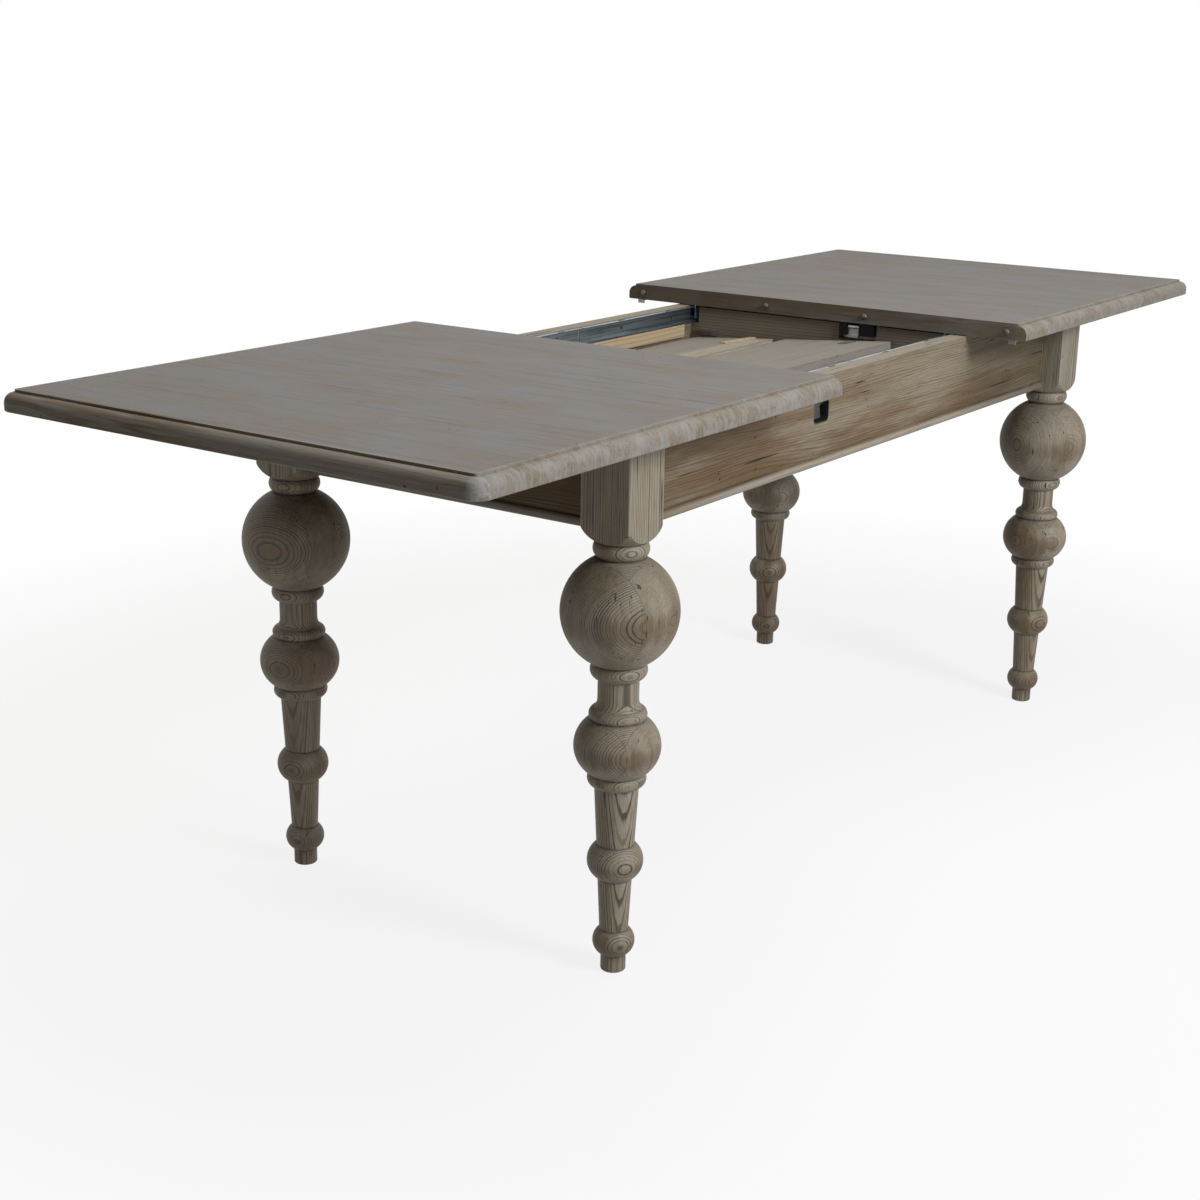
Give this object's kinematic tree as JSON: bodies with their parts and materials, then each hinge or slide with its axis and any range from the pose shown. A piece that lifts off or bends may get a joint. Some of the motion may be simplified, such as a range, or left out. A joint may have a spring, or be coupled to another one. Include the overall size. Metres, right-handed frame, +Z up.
{
  "type": "extending table",
  "caption": "Extending dining table: two sliding top halves with moulded edges on a framed base with turned legs, and a folded leaf stored in the well.",
  "frame": {"origin": "on the floor under the middle of the table", "axes": "+X along the length towards the right half, -Y the front with the catch, +Z up"},
  "size_m": [2.23, 0.79, 0.78],
  "materials": {
    "aged_wood": "grey-washed reclaimed pine, open grain, matt",
    "raw_pine": "planed bare pine",
    "steel": "zinc-plated pressed steel",
    "zinc_fastener": "zinc-plated fasteners",
    "black_plastic": "moulded black plastic"
  },
  "bodies": {
    "frame": {"apron_back": "aged_wood", "apron_front": "aged_wood", "apron_left": "aged_wood", "apron_right": "aged_wood", "bead_back": "aged_wood", "bead_front": "aged_wood", "bead_left": "aged_wood", "bead_right": "aged_wood", "channel_screws": "zinc_fastener", "corner_blocks": "raw_pine", "cross_rail_left": "raw_pine", "cross_rail_right": "raw_pine", "latch_cup": "steel", "latch_pin": "steel", "leaf_bearers": "raw_pine", "leg_back_left": "aged_wood", "leg_back_right": "aged_wood", "leg_bolts": "zinc_fastener", "leg_front_left": "aged_wood", "leg_front_right": "aged_wood", "leg_nuts": "zinc_fastener", "rail_clips": "steel", "slide_channel_back_left": "steel", "slide_channel_back_right": "steel", "slide_channel_front_left": "steel", "slide_channel_front_right": "steel", "slide_ledge_back": "raw_pine", "slide_ledge_front": "raw_pine"},
    "left_half": {"half_screws_left": "zinc_fastener", "leaf_catches_left": "steel", "lock_keeper": "steel", "pin_sockets": "steel", "slide_brackets_left": "steel", "slide_member_back_left": "steel", "slide_member_front_left": "steel", "top_left": "aged_wood"},
    "right_half": {"half_screws_right": "zinc_fastener", "leaf_catches_right": "steel", "locating_pins": "steel", "lock_housing": "black_plastic", "lock_pin": "steel", "slide_brackets_right": "steel", "slide_member_back_right": "steel", "slide_member_front_right": "steel", "top_right": "aged_wood"},
    "left_cages": {"slide_balls_left": "steel", "slide_cages_left": "steel"},
    "right_cages": {"slide_balls_right": "steel", "slide_cages_right": "steel"},
    "lock_tongue": {"lock_tongue": "steel"},
    "latch_lever": {"latch_lever": "steel"},
    "leaf_lower": {"leaf_lower": "aged_wood", "leaf_hinge_lower": "steel", "leaf_hinge_pins": "steel"},
    "leaf_upper": {"leaf_upper": "aged_wood", "leaf_hinge_upper": "steel", "leaf_strip": "raw_pine", "leaf_packer": "raw_pine", "leaf_plate": "steel"}
  },
  "joints": [
    {"name": "left_half_slide", "type": "slide", "parent": "frame", "child": "left_half", "axis": [1, 0, 0], "range_m": [0, 0.31475]},
    {"name": "right_half_slide", "type": "slide", "parent": "frame", "child": "right_half", "axis": [-1, 0, 0], "range_m": [0, 0.31475]},
    {"name": "left_cage_roll", "type": "slide", "parent": "frame", "child": "left_cages", "axis": [1, 0, 0], "range_m": [0, 0.15737]},
    {"name": "right_cage_roll", "type": "slide", "parent": "frame", "child": "right_cages", "axis": [-1, 0, 0], "range_m": [0, 0.15737]},
    {"name": "leaf_lift", "type": "slide", "parent": "frame", "child": "leaf_lower", "axis": [0, 0.6215, -0.7834], "range_m": [-0.3829, 0]},
    {"name": "leaf_fold", "type": "hinge", "parent": "leaf_lower", "child": "leaf_upper", "pos_m": [0, 0.238, 0.66715], "axis": [-1, 0, 0], "range_deg": [0, 180]},
    {"name": "lock_tongue_swing", "type": "hinge", "parent": "right_half", "child": "lock_tongue", "pos_m": [0.322, -0.0755, 0.744], "axis": [0, 1, 0], "range_deg": [0, 90]},
    {"name": "latch_lever_pull", "type": "hinge", "parent": "frame", "child": "latch_lever", "pos_m": [-0.175, -0.278, 0.7055], "axis": [-1, 0, 0], "range_deg": [0, 40]}
  ],
  "couplings": [
    {"joint": "left_cage_roll", "follows": "left_half_slide", "ratio": 0.5},
    {"joint": "right_cage_roll", "follows": "right_half_slide", "ratio": 0.5},
    {"joint": "leaf_fold", "follows": "leaf_lift", "rad_per_m": -8.2047}
  ]
}
